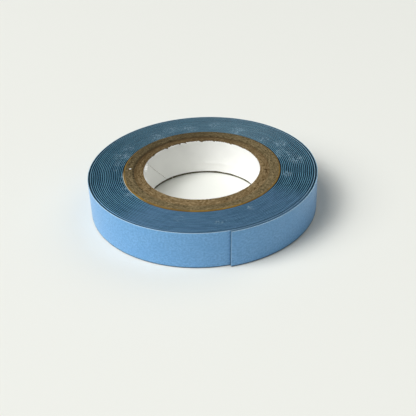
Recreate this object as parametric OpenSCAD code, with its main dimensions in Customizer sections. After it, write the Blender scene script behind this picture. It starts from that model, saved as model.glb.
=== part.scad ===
// A roll of narrow double-sided grip tape, lying flat on one face.
// The tape is a laminate of four layers, wound round a spiral-wound paperboard core,
// with its release liner outermost. The last stretch of the outer turn is the free end:
// it is cut into short stretches, so that it can be lifted off the roll, and the liner
// over its tip is cut into tabs, so that the liner can be turned back off the adhesive.
// Millimetres. +Z is the axis of the bore, and z = 0 is the surface the roll lies on.

/* [Core] */
// Diameter of the hole through the core
bore_d = 30; // [25:0.5:38]
// Wall of the core, from the white facing to the kraft wrap
core_wall = 5.35; // [4:0.05:7]
// Width of the core along the axis
core_w = 10.3; // [10:0.1:12]
// Thickness of the white paper that faces the bore
facing_t = 0.15; // [0.1:0.01:0.3]
// Thickness of the kraft paper round the outside of the core
wrap_t = 0.3; // [0.15:0.01:0.5]
// Gap that is left where the two edges of a ply meet
seam_gap = 0.25; // [0.1:0.05:0.5]
// Slope of a ply's seam from the axis, in degrees
seam_slope = 38; // [0:1:50]

/* [Tape] */
// Width of the tape along the axis
tape_w = 10; // [6:0.1:10]
// Number of turns on the core
turns = 18.8; // [4:0.1:24]
// Thickness of the adhesive on the side that faces the core
inner_adhesive_t = 0.12; // [0.05:0.01:0.3]
// Thickness of the carrier between the two adhesives
carrier_t = 0.1; // [0.05:0.01:0.3]
// Thickness of the adhesive under the release liner
outer_adhesive_t = 0.12; // [0.05:0.01:0.3]
// Thickness of the release liner
liner_t = 0.13; // [0.05:0.01:0.3]
// How far the adhesives and the carrier stop short of the liner's edges
edge_recess = 0.05; // [0:0.01:0.2]
// How far the last two turns stand off the turns under them, in all
slack = 0.33; // [0.1:0.01:0.6]

/* [Free end] */
// Direction of the cut end round the roll, in degrees from +X
end_angle = -77.4; // [-180:0.1:180]
// Arc of one stretch of the free end, in degrees
end_arc = 9; // [6:0.5:10]
// Arc of one tab of the liner over the tip, in degrees
tab_arc = 6; // [4:0.5:8]

/* [Hidden] */
PLIES = 10;
END_STRETCHES = 6;
LINER_TABS = 3;
LAYERS = ["inner_adhesive", "carrier", "outer_adhesive", "liner"];

function end_name(i, layer) = str("end_", i, "_", LAYERS[layer]);
function tip_name(layer) = str("tip_", LAYERS[layer]);

bore_r = bore_d / 2;
core_r = bore_r + core_wall;
ply_t = (core_wall - facing_t - wrap_t) / PLIES;
// Seams are spread round the core by the golden angle, so that no two lie over each other.
seam_turn = 137.5;

// The layers of the tape, outwards: where each starts and ends in the tape's thickness.
layer_t = [inner_adhesive_t, carrier_t, outer_adhesive_t, liner_t];
function up_to(layer) = layer == 0 ? 0 : up_to(layer - 1) + layer_t[layer - 1];
tape_t = up_to(4);
tape_z = (core_w - tape_w) / 2;

// Chords in each turn of the wound tape, and in each turn of the free end. The wound tape's
// chords start at the tape's start, so every turn's corners lie over those of the turn below.
WOUND_CHORDS = 48;
END_CHORDS = 360;
// The middles of the first turn's chords touch the core's round wall, so its corners clear it.
bond_gap = core_r / cos(180 / WOUND_CHORDS) - core_r;
// The last turns over which the slack is spread.
LOOSE_TURNS = 2;
// Each turn climbs by the tape's thickness to pass over the turn before. The first turn climbs
// late, just short of the tape's start, and each turn above it climbs more evenly.
FIRST_CLIMB = 12;
CLIMB_DECAY = 0.85;

function climbed(n, share) = pow(share, max(1, FIRST_CLIMB * pow(CLIMB_DECAY, n)));
function slack_at(k) = slack * max(0, k - turns + LOOSE_TURNS) / LOOSE_TURNS;
// Radius of the tape's inner side and its direction, k turns along from the start.
function inner_r(k) =
    core_r + bond_gap + tape_t * (floor(k) + climbed(floor(k), k - floor(k))) + slack_at(k);
function direction(k) = end_angle + 360 * (turns - k);
function at(k, up) = (inner_r(k) + up) * [cos(direction(k)), sin(direction(k))];

// Over the start of the tip the liner stays down, for half a stretch and half a tab.
tip_root_arc = (end_arc + tab_arc) / 2;
// Where the free end's stretches start, in turns along the tape.
free_arc = END_STRETCHES * end_arc + tip_root_arc + LINER_TABS * tab_arc;
free_start = turns - free_arc / 360;
function end_start(i) = free_start + (i - 1) * end_arc / 360;
tip_start = end_start(END_STRETCHES + 1);
function tab_start(i) = tip_start + (tip_root_arc + (i - 1) * tab_arc) / 360;

// One ring of the core, between two radii.
module ring(inner, outer) {
    difference() {
        cylinder(r = outer, h = core_w, $fn = 180);
        translate([0, 0, -1]) cylinder(r = inner, h = core_w + 2, $fn = 180);
    }
}

// The sloping gap where the edges of the ply at radius r meet.
module seam(r, turned) {
    rotate(turned)
        translate([r, 0, core_w / 2])
            rotate([seam_slope, 0, 0])
                cube([3 * ply_t, seam_gap, 3 * core_w], center = true);
}

module core_facing() {
    color([0.93, 0.93, 0.91]) ring(bore_r, bore_r + facing_t);
}

module core_ply(i) {
    inner = bore_r + facing_t + (i - 1) * ply_t;
    brown = i <= PLIES / 2 ? [0.47, 0.36, 0.21] : [0.43, 0.38, 0.27];
    color(brown) difference() {
        ring(inner, inner + ply_t);
        seam(inner + ply_t / 2, i * seam_turn);
    }
}

module core_wrap() {
    color([0.6, 0.42, 0.14]) difference() {
        ring(core_r - wrap_t, core_r);
        seam(core_r - wrap_t / 2, (PLIES + 1) * seam_turn);
    }
}

// One layer of the tape between two places along it, in turns from the tape's start.
module strip(layer, from, to, chords) {
    corners = [floor(from * chords + 1.1):ceil(to * chords - 1.1)];
    places = concat([from], [for (i = corners) i / chords], [to]);
    last = len(places) - 1;
    recess = layer == 3 ? 0 : edge_recess;
    low = up_to(layer);
    high = up_to(layer + 1);
    translate([0, 0, tape_z + recess])
        linear_extrude(tape_w - 2 * recess)
            polygon(concat(
                [for (k = places) at(k, low)],
                [for (i = [last:-1:0]) at(places[i], high)]
            ));
}

module layer_color(layer) {
    color(layer == 3 ? [0.45, 0.66, 0.88] : layer == 1 ? [0.3, 0.44, 0.55] : [0.12, 0.24, 0.34])
        children();
}

// The tape on the roll, as far as the free end.
module wound(layer) {
    layer_color(layer) strip(layer, 0, free_start, WOUND_CHORDS);
}

module free_end(i, layer) {
    layer_color(layer) strip(layer, end_start(i), end_start(i + 1), END_CHORDS);
}

// The tip of the tape. Its liner covers only the root, and the tabs cover the rest.
module tip(layer) {
    layer_color(layer) strip(layer, tip_start, layer == 3 ? tab_start(1) : turns, END_CHORDS);
}

module liner_tab(i) {
    layer_color(3) strip(3, tab_start(i), tab_start(i + 1), END_CHORDS);
}

core_facing();
for (i = [1:PLIES])
    core_ply(i);
core_wrap();
for (layer = [0:3])
    wound(layer);
for (i = [1:END_STRETCHES], layer = [0:3])
    free_end(i, layer);
for (layer = [0:3])
    tip(layer);
for (i = [1:LINER_TABS])
    liner_tab(i);
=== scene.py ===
# A roll of narrow double-sided grip tape, lying on a pale floor: its looks, built round the
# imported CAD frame. Metres, with +Z along the bore and z = 0 at the floor.
import math

import bpy
import numpy as np
from mathutils import Matrix, Vector, noise


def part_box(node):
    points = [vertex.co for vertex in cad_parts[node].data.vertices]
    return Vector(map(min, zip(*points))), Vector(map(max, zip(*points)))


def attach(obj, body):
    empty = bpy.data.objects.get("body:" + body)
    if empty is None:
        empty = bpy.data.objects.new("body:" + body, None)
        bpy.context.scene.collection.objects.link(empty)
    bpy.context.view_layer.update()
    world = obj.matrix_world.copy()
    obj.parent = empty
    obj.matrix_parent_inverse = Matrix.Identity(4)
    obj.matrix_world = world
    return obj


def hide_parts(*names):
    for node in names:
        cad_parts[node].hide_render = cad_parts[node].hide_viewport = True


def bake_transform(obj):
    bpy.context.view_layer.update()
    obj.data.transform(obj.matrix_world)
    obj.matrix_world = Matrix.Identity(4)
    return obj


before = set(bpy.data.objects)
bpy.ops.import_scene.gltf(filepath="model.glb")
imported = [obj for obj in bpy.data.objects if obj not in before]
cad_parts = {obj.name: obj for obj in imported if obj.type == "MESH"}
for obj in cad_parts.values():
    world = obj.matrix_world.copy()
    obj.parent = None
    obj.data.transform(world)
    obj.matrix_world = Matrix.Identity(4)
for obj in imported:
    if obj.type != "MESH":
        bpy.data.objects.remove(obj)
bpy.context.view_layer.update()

MM = 0.001

# ---- The roll's dimensions: radii and heights from the frame, the winding as in part.scad ----

FACING_T = 0.15 * MM
WRAP_T = 0.3 * MM
BORE_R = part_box("core_facing")[1].y - FACING_T
CORE_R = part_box("core_wrap")[1].y
CORE_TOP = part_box("core_wrap")[1].z
TAPE_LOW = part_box("wound_liner")[0].z
TAPE_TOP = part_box("wound_liner")[1].z
PLIES = 10
PLY_T = (CORE_R - BORE_R - FACING_T - WRAP_T) / PLIES
SEAM_GAP = 0.25 * MM
SEAM_SLOPE = math.radians(38)
SEAM_TURN = math.radians(137.5)

TURNS = 18.8
END_ANGLE = math.radians(-77.4)
SLACK = 0.33 * MM
LOOSE_TURNS = 2
FIRST_CLIMB = 12
CLIMB_DECAY = 0.85
WOUND_CHORDS = 48
BOND_GAP = CORE_R / math.cos(math.pi / WOUND_CHORDS) - CORE_R
LAYERS = {
    "inner_adhesive": 0.12 * MM,
    "carrier": 0.10 * MM,
    "outer_adhesive": 0.12 * MM,
    "liner": 0.13 * MM,
}
TAPE_T = sum(LAYERS.values())
EDGE_RECESS = 0.05 * MM

# The free end, in turns along the tape.
END_ARC = 9 / 360
TAB_ARC = 6 / 360
END_STRETCHES = 6
LINER_TABS = 3
TIP_START = TURNS - (END_ARC + TAB_ARC) / 2 - LINER_TABS * TAB_ARC
FREE_START = TIP_START - END_STRETCHES * END_ARC

# How far the slanting cut reaches past the CAD end, at its top and at its bottom, in turns.
CUT_TOP = 0.84 / 360
CUT_BOTTOM = 1.5 / 360

# Where the brown inner board, which has sunk a little, meets the grey outer board.
STEP_R = BORE_R + FACING_T + PLIES // 2 * PLY_T


# ---- Camera, floor and light ----

def add_camera():
    """At the photograph's viewing angle: 30 degrees above the roll, in front of it."""
    camera = bpy.data.objects.new("camera", bpy.data.cameras.new("camera"))
    camera.data.lens = 70.42
    camera.data.sensor_width = 36
    distance = 0.2118
    elevation = math.radians(30.20)
    camera.location = (0, -distance * math.cos(elevation), TAPE_TOP + distance * math.sin(elevation))
    aside = Matrix.Rotation(math.radians(-0.37), 3, "Z")
    tilt = Matrix.Rotation(math.radians(57.0), 3, "X")
    roll = Matrix.Rotation(math.radians(-2.54), 3, "Z")
    camera.rotation_euler = (aside @ tilt @ roll).to_euler()
    camera.data.clip_start = 0.01
    bpy.context.scene.collection.objects.link(camera)
    bpy.context.scene.camera = camera


def add_soft_box(name, direction, elevation, diameter, power, color=(1, 1, 1)):
    """A round soft box that faces the roll from four metres away. Both angles are in degrees."""
    light = bpy.data.lights.new(name, "AREA")
    light.shape = "DISK"
    light.size = diameter
    light.energy = power
    light.color = color
    turn, rise = math.radians(direction), math.radians(elevation)
    place = Vector((math.cos(rise) * math.cos(turn), math.cos(rise) * math.sin(turn), math.sin(rise)))
    lamp = bpy.data.objects.new(name, light)
    lamp.location = 4 * place
    lamp.rotation_euler = place.to_track_quat("Z", "Y").to_euler()
    bpy.context.scene.collection.objects.link(lamp)


def add_studio():
    """A plain pale floor, two large soft boxes on the left, and fill from the right and all round."""
    world = bpy.data.worlds.new("studio")
    bpy.context.scene.world = world
    world.use_nodes = True
    background = world.node_tree.nodes["Background"]
    background.inputs["Color"].default_value = (1, 1, 1, 1)
    background.inputs["Strength"].default_value = 0.1
    add_soft_box("key_high", 195, 58, 2.8, 98)
    add_soft_box("key_low", 195, 40, 2.8, 99)
    add_soft_box("fill_back", 45, 40, 2.8, 28, color=(1, 0.99, 0.95))
    add_soft_box("fill_front", 315, 40, 2.8, 13, color=(0.96, 0.99, 0.97))
    floor = swept("floor", [[(x, y, 0) for y in (-2, 2)] for x in (-2, 2)], closed=False)
    floor.data.materials.append(floor_material())
    bpy.context.scene.view_settings.view_transform = "Standard"


# ---- Meshes ----

def swept(name, loops, closed=True, face_slots=None, unrolled=None, sharp=35):
    """A mesh through cross-sections, each a list of points: its skin, and a cap at each end.

    closed joins each section's last point to its first. face_slots gives the material slot of the
    skin from each point of a section to the next, and the caps then take slot 1. unrolled holds a
    texture place for each point. Edges that bend by more than sharp, in degrees, stay sharp."""
    loops = np.asarray(loops, float)
    sections, points = loops.shape[:2]
    spans = points if closed else points - 1
    index = np.arange(sections * points).reshape(sections, points)
    here = index[:-1, :spans]
    beside = np.roll(index, -1, axis=1)[:-1, :spans]
    skin = np.stack([here, np.roll(index, -1, axis=0)[:-1, :spans],
                     np.roll(np.roll(index, -1, axis=1), -1, axis=0)[:-1, :spans], beside], axis=-1)
    faces = [list(map(int, f)) for f in skin.reshape(-1, 4)]
    slots = list(face_slots or [0] * spans) * (sections - 1)
    if closed:
        faces += [list(map(int, index[0])), list(map(int, index[-1][::-1]))]
        slots += [min(1, max(slots))] * 2
    mesh = bpy.data.meshes.new(name)
    mesh.from_pydata(loops.reshape(-1, 3).tolist(), [], faces)
    mesh.polygons.foreach_set("material_index", slots)
    mesh.polygons.foreach_set("use_smooth", [True] * len(faces))
    mesh.set_sharp_from_angle(angle=math.radians(sharp))
    if unrolled is not None:
        places = mesh.attributes.new("unrolled", "FLOAT_VECTOR", "POINT")
        places.data.foreach_set("vector", np.asarray(unrolled, float).reshape(-1))
    piece = bpy.data.objects.new(name, mesh)
    bpy.context.scene.collection.objects.link(piece)
    return piece


def wander(distance, wavelength, seed):
    """Smooth seeded noise along a length, from -1 to 1."""
    u = np.asarray(distance, float) / wavelength
    table = np.random.default_rng(seed).uniform(-1, 1, int(u.max()) + 3)
    i = np.floor(u).astype(int)
    f = u - i
    f = f * f * (3 - 2 * f)
    return table[i] * (1 - f) + table[i + 1] * f


def relief(points, size, seed):
    """Smooth seeded noise at points in space, with bumps of about that size, from -1 to 1."""
    flat = np.asarray(points, float).reshape(-1, 3) / size + 17.3 * seed
    return np.array([noise.noise(Vector(p)) for p in flat]).reshape(np.shape(points)[:-1])


# ---- Materials ----

def add(tree, kind, settings=None, **inputs):
    """Adds a node. An input is a value or another node's socket; spaces in its name are written _."""
    node = tree.nodes.new("ShaderNode" + kind)
    for key, value in (settings or {}).items():
        setattr(node, key, value)
    for key, value in inputs.items():
        socket = node.inputs[int(key[1:])] if key[1:].isdigit() else node.inputs[key.replace("_", " ")]
        if isinstance(value, bpy.types.NodeSocket):
            tree.links.new(value, socket)
        else:
            socket.default_value = value
    return node


def start(name, roughness, specular=0.5):
    """A new material with its node tree and shader."""
    material = bpy.data.materials.new(name)
    material.use_nodes = True
    tree = material.node_tree
    shader = tree.nodes["Principled BSDF"]
    shader.inputs["Roughness"].default_value = roughness
    shader.inputs["Specular IOR Level"].default_value = specular
    return material, tree, shader


def speckle(tree, place, size, detail, stretch=(1, 1, 1)):
    """Noise from 0 to 1 with grains of about that size, drawn out by stretch."""
    scaled = add(tree, "VectorMath", {"operation": "DIVIDE"}, _0=place, _1=[size * s for s in stretch])
    return add(tree, "TexNoise", Vector=scaled.outputs[0], Scale=1.0, Detail=detail).outputs["Fac"]


def between(tree, value, low, high):
    """0 where value is below low, 1 where it is above high."""
    smooth = {"interpolation_type": "SMOOTHSTEP"}
    return add(tree, "MapRange", smooth, Value=value, From_Min=low, From_Max=high).outputs["Result"]


def mixed(tree, share, first, second):
    """The colour between first and second."""
    mix = add(tree, "Mix", {"data_type": "RGBA"}, _0=share, _6=first, _7=second)
    return mix.outputs[2]


def times(tree, a, b):
    """The product of two numbers."""
    return add(tree, "Math", {"operation": "MULTIPLY"}, _0=a, _1=b).outputs[0]


def bumped(tree, shader, height, depth):
    """Gives the shader a bump of that depth in metres."""
    bump = add(tree, "Bump", Height=height, Distance=depth, Strength=1.0)
    tree.links.new(bump.outputs[0], shader.inputs["Normal"])


def unrolled_place(tree):
    """A place on a wound layer as if it lay flat: along it, across it and through it."""
    return add(tree, "Attribute", {"attribute_name": "unrolled"}).outputs["Vector"]


def object_place(tree):
    """A place in the piece's own frame, which is the roll's at rest."""
    return add(tree, "TexCoord").outputs["Object"]


def linear(red, green, blue):
    """A colour given as it looks on a screen, from 0 to 255, for a shader."""
    def one(v):
        v = v / 255
        return v / 12.92 if v <= 0.04045 else ((v + 0.055) / 1.055) ** 2.4
    return (one(red), one(green), one(blue), 1)


def largest(tree, a, b):
    """The larger of two numbers."""
    return add(tree, "Math", {"operation": "MAXIMUM"}, _0=a, _1=b).outputs[0]


def axis_of(tree, place, axis):
    """One coordinate of a place: X, Y or Z."""
    return add(tree, "SeparateXYZ", _0=place).outputs[axis]


def flattened(tree, place):
    """A place with its height taken away."""
    return add(tree, "VectorMath", {"operation": "MULTIPLY"}, _0=place, _1=(1, 1, 0)).outputs[0]


def toward(angle):
    """The level unit vector in that direction, in degrees."""
    return Vector((math.cos(math.radians(angle)), math.sin(math.radians(angle)), 0))


def spots(tree, place, marks):
    """1 at the middle of each mark, 0 outside it.

    A mark is a direction in degrees, and a radius and a size in millimetres."""
    flat = flattened(tree, place)
    found = None
    for angle, radius, size in marks:
        centre = radius * MM * toward(angle)
        away = add(tree, "VectorMath", {"operation": "DISTANCE"}, _0=flat, _1=centre).outputs["Value"]
        near = between(tree, away, size * MM, 0.2 * size * MM)
        found = near if found is None else largest(tree, found, near)
    return found


# Painted sheen over the front and back of the winding, streaked, standing in for how light falls on its
# layers there: the direction of the middle, how far it is whole and how far it reaches to each side of
# that, all in degrees, its strength, and the two colours it is streaked in.
SHEEN_FILMS = [
    (278, 40, 58, 0.65, (68, 101, 129), (84, 118, 149)),
    (90, 25, 70, 0.2, (98, 124, 138), (114, 140, 154)),
]


def sheened(tree, color, share):
    """Painted sheen over the front and the back of the winding, which dulls the lines between its
    layers.
    """
    flat = flattened(tree, object_place(tree))
    outward = add(tree, "VectorMath", {"operation": "NORMALIZE"}, _0=flat).outputs[0]
    grain = speckle(tree, unrolled_place(tree), 1.0 * MM, detail=2, stretch=(4, 1, 1))
    streaks = between(tree, grain, 0.35, 0.65)
    for angle, whole, end, strength, dark, light in SHEEN_FILMS:
        faces = add(tree, "VectorMath", {"operation": "DOT_PRODUCT"}, _0=outward, _1=toward(angle))
        limits = [math.cos(math.radians(end)), math.cos(math.radians(whole))]
        sheen = times(tree, between(tree, faces.outputs["Value"], *limits), strength)
        sheen_tone = mixed(tree, streaks, linear(*dark), linear(*light))
        color = mixed(tree, times(tree, sheen, share), color, sheen_tone)
    return color


def on_outer_turns(tree, place):
    """0 inside the roll, 1 on its last turn."""
    return between(tree, axis_of(tree, place, "X"), along(TURNS - 2.3), along(TURNS - 0.9))


def liner_face_material():
    """Light blue release liner: satin and mottled, paler along the top rim of its outer turns and at
    its cut end, partly as painted highlight, with a painted contact shadow at its foot and painted
    sheen over the winding's front and back.
    """
    material, tree, shader = start("liner_face", roughness=0.34, specular=0.56)
    place = unrolled_place(tree)
    fine = speckle(tree, place, 0.5 * MM, detail=3)
    cloudy = speckle(tree, place, 4 * MM, detail=2)
    blue = mixed(tree, between(tree, fine, 0.3, 0.7), linear(96, 155, 207), linear(121, 179, 228))
    blue = mixed(tree, times(tree, between(tree, cloudy, 0.35, 0.7), 0.35), blue, linear(100, 162, 216))
    # The top rim of the outer turns and the cut end: paler cut edges, partly a painted highlight where
    # they catch the light.
    rim_highlight = between(tree, axis_of(tree, place, "Y"), TAPE_TOP - 0.26 * MM, TAPE_TOP - 0.1 * MM)
    cut_highlight = between(tree, axis_of(tree, place, "X"), along(TURNS) - 0.2 * MM, along(TURNS) - 0.1 * MM)
    rim_highlight = times(tree, rim_highlight, on_outer_turns(tree, place))
    white = largest(tree, times(tree, rim_highlight, 0.8), times(tree, cut_highlight, 0.25))
    # Painted contact shadow: darker along the tape's foot, just above the floor.
    contact_shadow = between(tree, axis_of(tree, place, "Y"), TAPE_LOW + 0.3 * MM, TAPE_LOW + 0.12 * MM)
    blue = mixed(tree, times(tree, contact_shadow, 0.75), blue, linear(58, 76, 88))
    # Painted sheen over the winding's front and back, on all but its last turn.
    covered = between(tree, axis_of(tree, place, "X"), along(TURNS - 1.02), along(TURNS - 1.3))
    blue = sheened(tree, blue, covered)
    tree.links.new(mixed(tree, white, blue, linear(206, 232, 250)), shader.inputs["Base Color"])
    bumped(tree, shader, fine, 0.01 * MM)
    return material


def liner_back_material():
    """The release side of the liner: paler and greyer than its face, and smoother."""
    material, tree, shader = start("liner_back", roughness=0.4, specular=0.4)
    fine = speckle(tree, unrolled_place(tree), 0.8 * MM, detail=2)
    color = mixed(tree, between(tree, fine, 0.3, 0.7), linear(128, 146, 154), linear(146, 164, 172))
    tree.links.new(color, shader.inputs["Base Color"])
    return material


def adhesive_face_material():
    """The tacky side of an adhesive, seen when tape or liner is peeled: satin, faintly rippled."""
    material, tree, shader = start("adhesive_face", roughness=0.35, specular=0.4)
    place = unrolled_place(tree)
    ripple = speckle(tree, place, 1.5 * MM, detail=2, stretch=(1, 3, 1))
    color = mixed(tree, between(tree, ripple, 0.35, 0.65), linear(24, 58, 80), linear(32, 70, 94))
    tree.links.new(color, shader.inputs["Base Color"])
    bumped(tree, shader, ripple, 0.03 * MM)
    return material


# Patches of dust on the winding: direction in degrees, radius and size in millimetres.
DUST = [
    (122, 22.3, 3.6), (110, 24.0, 3.0), (158, 22.6, 3.4), (168, 22.2, 2.0), (147, 23.6, 2.4),
    (98, 22.6, 3.2), (80, 24.6, 2.4), (62, 22.8, 3.0), (40, 22.6, 2.2), (16, 22.8, 4.0),
    (6, 25.0, 3.2), (28, 24.5, 2.6), (-12, 22.2, 2.0), (-104, 23.6, 1.6), (-82, 25.4, 1.4),
    (-60, 22.4, 1.6), (176, 22.6, 1.2), (211, 21.8, 1.6), (202, 21.2, 1.0), (194, 21.0, 0.8),
    (186, 21.0, 0.8),
]


def dusted(tree, color):
    """Pale dust and scuffs on the roll's flat sides: a few patches, and specks all round."""
    place = object_place(tree)
    grain = speckle(tree, place, 0.5 * MM, detail=3)
    cloud = speckle(tree, place, 1.6 * MM, detail=3)
    patches = times(tree, spots(tree, place, DUST), between(tree, cloud, 0.34, 0.54))
    specks = times(tree, between(tree, grain, 0.68, 0.76), 0.35)
    smears = times(tree, between(tree, grain, 0.46, 0.62), times(tree, patches, 0.75))
    return mixed(tree, largest(tree, specks, smears), color, linear(146, 174, 190))


def edge_material(name, dark, light, outer_tone, worn=0):
    """The cut edges of a layer of the tape: dark to light inside the roll, lighter on the outer turns,
    with painted sheen over the winding's front and back.

    worn is how far the innermost layer is bleached over the first stretch of the tape."""
    material, tree, shader = start(name, roughness=0.6, specular=0.1)
    place = unrolled_place(tree)
    grime = speckle(tree, place, 1.0 * MM, detail=3, stretch=(8, 1, 1))
    color = mixed(tree, between(tree, grime, 0.3, 0.7), dark, light)
    # Lighter on the outer turns, then painted sheen over the winding's front and back.
    color = sheened(tree, mixed(tree, on_outer_turns(tree, place), color, outer_tone), 1)
    first = between(tree, axis_of(tree, place, "X"), 12 * MM, 9 * MM)
    innermost = between(tree, axis_of(tree, place, "Z"), 0.2 * MM, 0.15 * MM)
    color = mixed(tree, times(tree, times(tree, first, innermost), worn), color, linear(224, 224, 208))
    tree.links.new(dusted(tree, color), shader.inputs["Base Color"])
    bumped(tree, shader, speckle(tree, place, 0.3 * MM, detail=3), 0.01 * MM)
    return material


# Dark pits in the board: direction in degrees, radius and size in millimetres.
PITS = [
    (-7, 16.7, 0.75), (-11, 16.8, 0.5), (-98, 19.4, 0.3), (-62, 18.9, 0.35), (204, 19.3, 0.3),
    (-150, 17.6, 0.35), (24, 19.0, 0.35),
]

# Where the board is darker, and where the step in it carries painted shade: direction in degrees,
# radius and size in mm.
DARKER_PATCH = (123, 17.5, 30)
STEP_SHADE = (100, 17.5, 40)


def board_material(name, light, middle, dark):
    """Cut paperboard: fibres along the turn, dark specks and pits, rough all over; darker over a patch
    towards the back-left, with painted shade along the step and a painted contact shadow at its foot.
    """
    material, tree, shader = start(name, roughness=0.9, specular=0.1)
    place = unrolled_place(tree)
    fibres = speckle(tree, place, 0.32 * MM, detail=4, stretch=(2.2, 1, 1))
    cloud = speckle(tree, place, 1.5 * MM, detail=3, stretch=(3, 1, 1))
    specks = speckle(tree, place, 0.55 * MM, detail=2, stretch=(1.6, 1, 1))
    color = mixed(tree, between(tree, fibres, 0.36, 0.64), middle, light)
    color = mixed(tree, times(tree, between(tree, cloud, 0.4, 0.65), 0.55), color, middle)
    pits = spots(tree, object_place(tree), PITS)
    marks = largest(tree, between(tree, specks, 0.63, 0.7), pits)
    color = mixed(tree, times(tree, marks, 0.85), color, dark)
    inside = between(tree, axis_of(tree, place, "Z"), STEP_R - 1.2 * MM, STEP_R - 0.2 * MM)
    outside = between(tree, axis_of(tree, place, "Z"), STEP_R + 0.4 * MM, STEP_R)
    # Darker over a wide patch towards the back-left.
    darker_patch = spots(tree, object_place(tree), [DARKER_PATCH])
    # Painted shade along the step between the brown and the grey board, strongest towards the back.
    step_shade = times(tree, times(tree, inside, outside), spots(tree, object_place(tree), [STEP_SHADE]))
    color = mixed(tree, times(tree, darker_patch, 0.5), color, dark)
    color = mixed(tree, times(tree, step_shade, 0.5), color, dark)
    # Painted contact shadow: dark olive at the board's foot, where it shows below the facing at the
    # floor.
    contact_shadow = between(tree, axis_of(tree, object_place(tree), "Z"), 1.1 * MM, 0.8 * MM)
    tree.links.new(mixed(tree, contact_shadow, color, linear(92, 88, 70)), shader.inputs["Base Color"])
    bumped(tree, shader, fibres, 0.16 * MM)
    return material


def paper_material(name, color, shade):
    """Thin paper: nearly smooth, with faint clouds in it."""
    material, tree, shader = start(name, roughness=0.55, specular=0.3)
    place = object_place(tree)
    cloud = speckle(tree, place, 4 * MM, detail=4)
    color = mixed(tree, between(tree, cloud, 0.35, 0.7), color, shade)
    tree.links.new(color, shader.inputs["Base Color"])
    bumped(tree, shader, speckle(tree, place, 0.5 * MM, detail=3), 0.02 * MM)
    return material


def floor_material():
    """A plain pale surface."""
    material, tree, shader = start("floor", roughness=0.7, specular=0.2)
    shader.inputs["Base Color"].default_value = (0.80, 0.81, 0.765, 1)
    return material


# ---- The paperboard core ----

# Burrs on the bore's rim: direction in degrees; height, length and reach into the bore in mm.
BURRS = [(165, 10.1, 0.8, 0.3), (169, 10.0, 1.2, 0.45), (173, 9.95, 1.3, 0.5), (177, 9.8, 0.9, 0.35),
         (171, 9.6, 0.8, 0.4), (120, 10.05, 0.5, 0.15), (104, 10.05, 0.4, 0.15), (196, 10.0, 0.6, 0.25)]


def leaning_ring(name, section, start_angle, gap, slope, shape, steps=720):
    """A ring through a section of (radius, height) points, cut by a seam that leans by slope.

    shape takes the distance along the turn and the section's points, and moves them."""
    section = np.array(section, float)
    radius = section[:, 0].mean()
    angles = np.linspace(gap / 2 / radius, 2 * math.pi - gap / 2 / radius, steps)
    distance = angles * radius
    points = shape(distance, np.broadcast_to(section, (len(angles), *section.shape)).copy())
    lean = math.tan(slope) * (points[..., 1] - CORE_TOP / 2) / radius
    turn = start_angle + angles[:, None] + lean
    r, z = points[..., 0], points[..., 1]
    loops = np.stack([r * np.cos(turn), r * np.sin(turn), z], axis=-1)
    unrolled = np.stack([turn * radius, z, r], axis=-1)
    piece = swept(name, loops, unrolled=unrolled)
    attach(piece, "roll")
    return piece


def wall(radius, start, end):
    """Points up or down a wall, close enough together for a wall whose rows lean."""
    return [(radius, z) for z in np.linspace(start, end, 24)]


def ply_section(inner, outer, inner_top, outer_top):
    """Five points across the top, the outer wall, the bottom's corners and the inner wall."""
    inset = 0.03 * MM
    section = list(zip(np.linspace(inner, outer, 5), np.linspace(inner_top, outer_top, 5)))
    section += wall(outer, outer_top - inset, inset)
    section += [(outer, 0), (inner, 0)]
    section += wall(inner, inset, inner_top - inset)
    return section


def rough_top(depth, seed):
    """A shape that roughens the five points across the top of a ply."""
    def shape(distance, points):
        turned = np.broadcast_to(distance[:, None], points.shape[:2])
        top = np.stack([turned, points[..., 0], points[..., 1]], -1)[:, :5]
        lift = relief(top, 1.2 * MM, seed) + relief(top, 0.3 * MM, seed + 1)
        points[:, :5, 1] += 0.7 * depth * lift
        return points
    return shape


def facing_shape(distance, points):
    """The white facing: torn at the top, uneven at the bottom, lapped at its seam and creased."""
    def hump(value, middle, spread):
        return np.exp(-((value - middle) / spread) ** 2)

    worn = 0.35 + 0.65 * hump(distance, 80 * MM, 9 * MM)
    torn = np.maximum(0, wander(distance, 0.8 * MM, 8) + 0.6 * wander(distance, 0.3 * MM, 9)) ** 1.5
    drop = 0.38 * MM * worn * torn + 0.05 * MM * wander(distance, 0.2 * MM, 10)
    points[..., 1] -= np.where(points[..., 1] > 0.95 * CORE_TOP, drop[:, None], 0)
    rise = 0.08 * MM * wander(distance, 2.1 * MM, 11)
    points[..., 1] += np.where(points[..., 1] < 0.07 * CORE_TOP, rise[:, None], 0)
    lap = 0.12 * MM * np.clip(1 - distance / (2.5 * MM), 0, 1)[:, None]
    crease = 0.12 * MM * hump(points[..., 1], 3.2 * MM, 0.4 * MM)
    crease = crease * hump(distance, 78 * MM, 6 * MM)[:, None]
    inner = points[..., 0] < BORE_R + FACING_T / 2
    points[..., 0] += np.where(inner, lap - crease, 0)
    return points


def board_top(ply):
    """Height of the board at the inner side of a ply, counted from 0.

    The inner plies have sunk, and the first of the outer ones slopes up from them."""
    sunk = 0.1 + 0.042 * ply if ply <= PLIES // 2 else 0.06
    return CORE_TOP - sunk * MM


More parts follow.
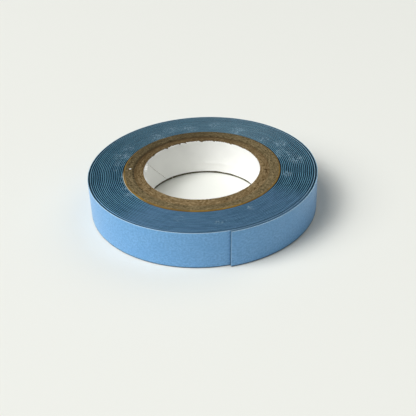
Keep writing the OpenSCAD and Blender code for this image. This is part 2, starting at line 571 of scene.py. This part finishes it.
def build_core():
    brown = board_material("board_inner", linear(149, 129, 95), linear(101, 83, 53), linear(54, 38, 18))
    grey = board_material("board_outer", linear(138, 122, 90), linear(88, 77, 52), linear(46, 38, 24))
    kraft = paper_material("kraft", linear(134, 104, 36), linear(102, 78, 26))
    white = paper_material("white_paper", linear(247, 247, 244), linear(243, 243, 240))
    for i in range(PLIES):
        inner = BORE_R + FACING_T + i * PLY_T
        section = ply_section(inner, inner + PLY_T, board_top(i), board_top(i + 1))
        shape = rough_top(0.08 * MM, i)
        seam = (i + 1) * SEAM_TURN
        piece = leaning_ring(f"board_ply_{i + 1}", section, seam, SEAM_GAP, SEAM_SLOPE, shape)
        piece.data.materials.append(brown if i < PLIES // 2 else grey)
        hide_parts(f"core_ply_{i + 1}")
    section = ply_section(CORE_R - WRAP_T, CORE_R, CORE_TOP - 0.04 * MM, CORE_TOP - 0.18 * MM)
    seam = (PLIES + 1) * SEAM_TURN
    wrap = leaning_ring("kraft_wrap", section, seam, SEAM_GAP, SEAM_SLOPE, rough_top(0.02 * MM, 40))
    wrap.data.materials.append(kraft)
    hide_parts("core_wrap")
    low, top = 0.62 * MM, CORE_TOP - 0.2 * MM
    section = wall(BORE_R, low, top) + wall(BORE_R + FACING_T, top, low)
    seam, slope = math.radians(145.7), math.radians(41.6)
    facing = leaning_ring("white_facing", section, seam, 0.07 * MM, slope, facing_shape, steps=1500)
    facing.data.materials.append(white)
    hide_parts("core_facing")


def paper_scrap(name, angle, radius, height, length, reach, lift, seed):
    """A torn scrap of white paper, flat along the turn, that reaches into the bore and lifts."""
    share = np.linspace(0, 1, 9)
    turn = math.radians(angle) + share * length / radius
    ragged = 1.1 + 0.5 * wander(share, 0.3, seed)
    half = 0.28 * MM * np.sin(math.pi * np.clip(share, 0.06, 0.94)) * ragged
    middle = radius - reach * np.sin(math.pi * share)
    z = height + lift * share ** 2
    loops = []
    for side, dz in ((-1, -0.03 * MM), (1, -0.03 * MM), (1, 0.03 * MM), (-1, 0.03 * MM)):
        r = middle + side * half
        loops.append(np.stack([r * np.cos(turn), r * np.sin(turn), z + dz], -1))
    piece = swept(name, np.stack(loops, 1))
    piece.data.materials.append(bpy.data.materials["white_paper"])
    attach(piece, "roll")


def build_scraps():
    """The paper that hangs on at the torn rim of the bore, and a fleck that lies on the board."""
    for i, (angle, *sizes) in enumerate(BURRS):
        height, length, reach = [size * MM for size in sizes]
        paper_scrap(f"paper_burr_{i + 1}", angle, BORE_R, height, length, reach, 0.2 * MM, 60 + i)
    paper_scrap("paper_fleck", 175.5, 18.7 * MM, CORE_TOP, 0.5 * MM, 0, 0.06 * MM, 70)


def start_wedge(name, material, k, inner, outer):
    """Fills between two radii over the places k, where the second turn climbs over the tape's start."""
    top = CORE_TOP - 0.26 * MM
    turn = direction(k)
    corners = []
    for r, z in ((inner, TAPE_LOW), (outer, TAPE_LOW), (outer, top), (inner, top)):
        corners.append(np.stack([r * np.cos(turn), r * np.sin(turn), np.full(k.shape, z)], -1))
    # A wedge isn't wound, so its own place stands in for the unrolled one.
    wedge = swept(name, np.stack(corners, 1), unrolled=np.stack(corners, 1))
    wedge.data.materials.append(material)
    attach(wedge, "roll")


def build_start_wedges(kraft, liner):
    """The kraft paper's tail, which thins out towards the tape's start, and a fold of liner over it."""
    k = np.linspace(0.7, 0.9998, 90)
    outer = inner_radius(k) - 0.01 * MM
    tail = 1 - 0.93 * np.clip((k - 0.93) / 0.06, 0, 1) ** 1.5
    middle = CORE_R + (outer - CORE_R) * tail
    start_wedge("kraft_tail", kraft, k, np.full(k.shape, CORE_R), middle)
    folded = k > 0.93
    start_wedge("liner_fold", liner, k[folded], middle[folded], outer[folded])


# ---- The tape ----

def inner_radius(k):
    """Radius of the tape's inner side, k turns along from its start."""
    k = np.asarray(k, float)
    turn = np.floor(k)
    climbed = (k - turn) ** np.maximum(1, FIRST_CLIMB * CLIMB_DECAY ** turn)
    slack = SLACK * np.maximum(0, k - TURNS + LOOSE_TURNS) / LOOSE_TURNS
    return CORE_R + BOND_GAP + TAPE_T * (turn + climbed) + slack


def direction(k):
    """Direction from the axis, k turns along."""
    return END_ANGLE + 2 * math.pi * (TURNS - np.asarray(k, float))


def along(k):
    """Distance along the tape, from its start, k turns along."""
    k = np.asarray(k, float)
    return 2 * math.pi * (k * (CORE_R + TAPE_T / 2) + TAPE_T * k * k / 2)


def layer_range(layer):
    """How far through the tape a layer starts and ends."""
    names = list(LAYERS)
    low = sum(LAYERS[n] for n in names[:names.index(layer)])
    return low, low + LAYERS[layer]


def tape_piece(name, layer, first, last, steps_per_turn):
    """One layer of the tape between two places along it, in turns, as it lies on the roll.

    A piece that ends at the end of the tape is drawn out to the slanting cut."""
    count = max(3, int(math.ceil((last - first) * steps_per_turn)) + 1)
    k = np.linspace(first, last, count)
    distance = along(k)
    low, high = layer_range(layer)
    recess = 0 if layer == "liner" else EDGE_RECESS
    chamfer = 0.012 * MM
    wave = 0.012 * MM * wander(distance, 31 * MM, 3) + 0.006 * MM * wander(distance, 7 * MM, 4)
    if layer != "liner":
        wave = wave + 0.004 * MM * wander(distance, 2.5 * MM, 5)
    top = TAPE_TOP - recess - 0.05 * MM + wave
    bottom = TAPE_LOW + recess + np.zeros(count)
    r = inner_radius(k)
    corners = [(low, 1, -chamfer), (low + chamfer, 1, 0), (high - chamfer, 1, 0), (high, 1, -chamfer),
               (high, 0, chamfer), (high - chamfer, 0, 0), (low + chamfer, 0, 0), (low, 0, chamfer)]
    drawn_out = (k - first) / (last - first) if last == TURNS else np.zeros(count)
    points, places = [], []
    for through, at_top, dz in corners:
        z = (top if at_top else bottom) + dz
        turn = direction(k + drawn_out * (CUT_TOP if at_top else CUT_BOTTOM))
        points.append(np.stack([(r + through) * np.cos(turn), (r + through) * np.sin(turn), z], -1))
        places.append(np.stack([distance, z, np.full(count, through)], -1))
    face, edge, back = 0, 1, 2
    slots = [edge, edge, edge, face, edge, edge, edge, back]
    return swept(name, np.stack(points, 1), face_slots=slots, unrolled=np.stack(places, 1), sharp=40)


def build_tape():
    liner_face = liner_face_material()
    liner_back = liner_back_material()
    glue_face = adhesive_face_material()
    colors = [linear(80, 128, 155), linear(106, 160, 184), linear(146, 186, 208)]
    liner_edge = edge_material("liner_edge", *colors)
    colors = [linear(8, 26, 36), linear(16, 38, 52), linear(18, 42, 56)]
    glue_edge = edge_material("adhesive_edge", *colors, worn=0.9)
    colors = [linear(12, 34, 48), linear(22, 48, 64), linear(28, 56, 74)]
    carrier_edge = edge_material("carrier_edge", *colors)
    glue = ("adhesive", glue_face, glue_edge, glue_face)
    finish = {"inner_adhesive": glue, "carrier": ("carrier", carrier_edge, carrier_edge, carrier_edge),
              "outer_adhesive": glue, "liner": ("liner", liner_face, liner_edge, liner_back)}

    def dress(piece, layer, *nodes):
        slot, *looks = finish[layer]
        for look in looks:
            piece.data.materials.append(look)
        if nodes:
            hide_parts(*nodes)
        return piece

    build_start_wedges(bpy.data.materials["kraft"], liner_edge)
    half = END_ARC / 2
    for layer in LAYERS:
        wound = tape_piece(f"winding_{layer}", layer, 0, FREE_START - half, 180)
        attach(dress(wound, layer, f"wound_{layer}"), "roll")
        chain = ["roll"] + [f"end_{i + 1}" for i in range(END_STRETCHES)] + ["tip"]
        for i in range(END_STRETCHES + 1):
            hinge = FREE_START + i * END_ARC
            bend = tape_piece(f"bend_{i + 1}_{layer}", layer, hinge - half, hinge + half, 720)
            dress(bend, layer, f"{chain[i + 1]}_{layer}")
            fold_at(bend)
        if layer != "liner":
            tip = tape_piece(f"tip_end_{layer}", layer, TIP_START + half, TURNS, 720)
            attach(dress(tip, layer), "tip")
    tabs = ["tip"] + [f"tab_{i + 1}" for i in range(LINER_TABS)]
    half = TAB_ARC / 2
    for i in range(LINER_TABS):
        hinge = TURNS - (LINER_TABS - i) * TAB_ARC
        bend = tape_piece(f"liner_bend_{i + 1}", "liner", hinge - half, hinge + half, 720)
        dress(bend, "liner", f"liner_tab_{i + 1}")
        fold_at(bend)
    last = tape_piece("liner_end", "liner", TURNS - half, TURNS, 720)
    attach(dress(last, "liner"), tabs[-1])


def fold_at(piece):
    """Bakes the piece's transform into its mesh; the piece is not bent."""
    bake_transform(piece)


add_camera()
add_studio()
build_core()
build_scraps()
build_tape()
